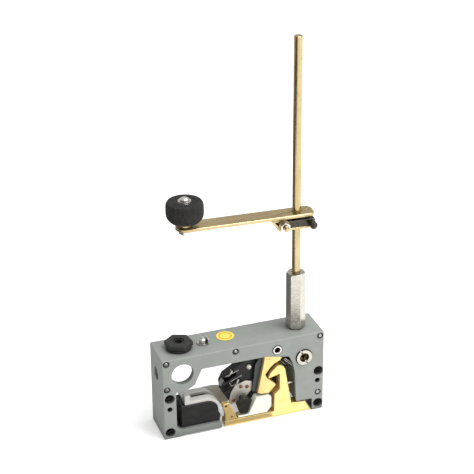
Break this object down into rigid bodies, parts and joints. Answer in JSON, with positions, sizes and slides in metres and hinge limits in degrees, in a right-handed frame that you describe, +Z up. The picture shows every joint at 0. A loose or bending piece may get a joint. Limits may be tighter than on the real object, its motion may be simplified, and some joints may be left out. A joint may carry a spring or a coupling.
{
  "type": "limit switch",
  "caption": "Open die-cast interlock limit switch: hook lock, strike and contacts, and a rod with a clamped arm and rubber roller.",
  "frame": {"origin": "on the housing's flat back face, behind the shaft, at half the housing's height", "axes": "+Z up along the shaft and rod, +Y out of the back face towards the door frame, +X along the housing towards the shaft end"},
  "size_m": [0.16, 0.0448, 0.373],
  "materials": {
    "grey_paint": "satin grey powder paint on die-cast metal",
    "rear_cover_paint": "matt black paint",
    "black_plastic": "moulded black plastic",
    "slate_plastic": "moulded slate plastic",
    "black_rubber": "matt black rubber",
    "white_nylon": "natural white nylon",
    "yellow_label": "printed yellow film",
    "gold_passivate": "satin gold",
    "zinc_yellow": "yellow zinc plating",
    "nickel": "dull nickel plating",
    "bright_steel": "bright zinc plating",
    "silver_plate": "silver-plated contact strip",
    "copper_rivet": "tarnished copper",
    "dark_steel": "blackened steel"
  },
  "bodies": {
    "housing": {"housing": "grey_paint", "rear_cover": "rear_cover_paint", "gland_body": "black_plastic", "gland_nut": "black_plastic", "gland_seal": "black_rubber", "earth_washer": "bright_steel", "earth_screw": "bright_steel", "sticker": "yellow_label", "guide_sleeve": "nickel", "release_bush": "nickel", "contact_carrier": "black_plastic", "terminal_bracket": "bright_steel", "terminal_plate": "silver_plate", "contact_block": "black_plastic", "block_screw": "bright_steel", "terminal_screw_1": "bright_steel", "terminal_screw_2": "bright_steel", "contact_pivot_rivet": "copper_rivet", "hook_pivot_pin": "bright_steel", "hook_spring": "bright_steel", "stop_pin": "bright_steel", "lower_bush": "gold_passivate", "upper_bush": "gold_passivate", "cover_pin_1": "bright_steel", "cover_pin_2": "bright_steel", "cover_pin_3": "bright_steel", "cover_pin_4": "bright_steel", "cover_pin_5": "bright_steel", "rear_cover_screw_1": "bright_steel", "rear_cover_screw_2": "bright_steel"},
    "shaft": {"shaft": "bright_steel", "hook_cam": "dark_steel", "hex_coupling": "nickel", "coupling_set_screw": "dark_steel"},
    "rod": {"rod": "zinc_yellow"},
    "arm": {"arm_bar": "zinc_yellow", "clamp_strap": "zinc_yellow", "clamp_jaw_front": "dark_steel", "clamp_jaw_rear": "dark_steel", "clamp_bolt": "zinc_yellow", "clamp_washer": "zinc_yellow", "clamp_nut": "bright_steel", "clamp_screw": "dark_steel", "clamp_screw_nut": "dark_steel", "roller_axle": "bright_steel", "roller_axle_nut": "bright_steel", "roller_spacer": "zinc_yellow", "roller_washer": "bright_steel"},
    "roller": {"roller_hub": "bright_steel", "roller_tyre": "black_rubber"},
    "hook": {"hook_lever": "gold_passivate", "hook_shield": "slate_plastic"},
    "strike": {"strike": "gold_passivate", "strike_horn": "gold_passivate", "nylon_plunger": "white_nylon"},
    "contact": {"contact_bridge": "silver_plate", "contact_bridge_rivet_1": "copper_rivet", "contact_bridge_rivet_2": "copper_rivet", "contact_lever": "dark_steel"},
    "release": {"release_core": "dark_steel"}
  },
  "joints": [
    {"name": "shaft_turn", "type": "hinge", "parent": "housing", "child": "shaft", "pos_m": [0, -0.0195, 0.0425], "axis": [0, 0, 1], "range_deg": [0, 35], "stiffness_Nm_per_rad": 0.4, "springref_deg": -17.19},
    {"name": "rod_turn", "type": "hinge", "parent": "shaft", "child": "rod", "pos_m": [0, -0.0195, 0.1005], "axis": [0, 0, 1], "range_deg": [-90, 90]},
    {"name": "arm_slide", "type": "slide", "parent": "rod", "child": "arm", "axis": [0, 0, 1], "range_m": [-0.045, 0.16]},
    {"name": "roller_spin", "type": "hinge", "parent": "arm", "child": "roller", "pos_m": [-0.1048, -0.01309, 0.163], "axis": [0, 0, 1], "continuous": true},
    {"name": "hook_turn", "type": "hinge", "parent": "housing", "child": "hook", "pos_m": [-0.0335, -0.0195, 0.0225], "axis": [0, 1, 0], "range_deg": [0, 18]},
    {"name": "strike_slide", "type": "slide", "parent": "housing", "child": "strike", "axis": [0, 0, -1], "range_m": [0, 0.001]},
    {"name": "contact_turn", "type": "hinge", "parent": "housing", "child": "contact", "pos_m": [-0.0665, -0.0283, -0.0205], "axis": [0, 1, 0], "range_deg": [0, 5]},
    {"name": "release_turn", "type": "hinge", "parent": "housing", "child": "release", "pos_m": [0.0011, -0.039, 0.0189], "axis": [0, 1, 0], "range_deg": [0, 60], "stiffness_Nm_per_rad": 0.02, "springref_deg": -11.46}
  ],
  "couplings": [
    {"joint": "hook_turn", "follows": "shaft_turn", "ratio": 0.514},
    {"joint": "contact_turn", "follows": "shaft_turn", "ratio": 0.1428}
  ]
}
